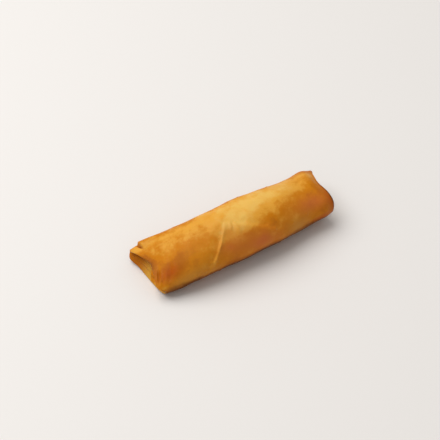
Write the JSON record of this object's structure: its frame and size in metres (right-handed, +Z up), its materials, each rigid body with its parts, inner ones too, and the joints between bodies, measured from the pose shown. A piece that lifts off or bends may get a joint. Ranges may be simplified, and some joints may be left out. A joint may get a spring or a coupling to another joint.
{
  "type": "fried spring roll",
  "caption": "Golden deep-fried spring roll with a glued corner flap and flattened, folded-in ends, lying on its side.",
  "frame": {"origin": "middle of the bounding box's underside, on the surface that the roll lies on", "axes": "+X along the roll, +Y to its back, away from the flap, +Z up"},
  "size_m": [0.1116, 0.039, 0.0266],
  "materials": {
    "fried_wrapper": "golden-brown fried wheat wrapper, paler along the top, browner at the ends and down the front, with a thin film of oil"
  },
  "bodies": {
    "root": {"spring_roll": "fried_wrapper"}
  },
  "joints": []
}
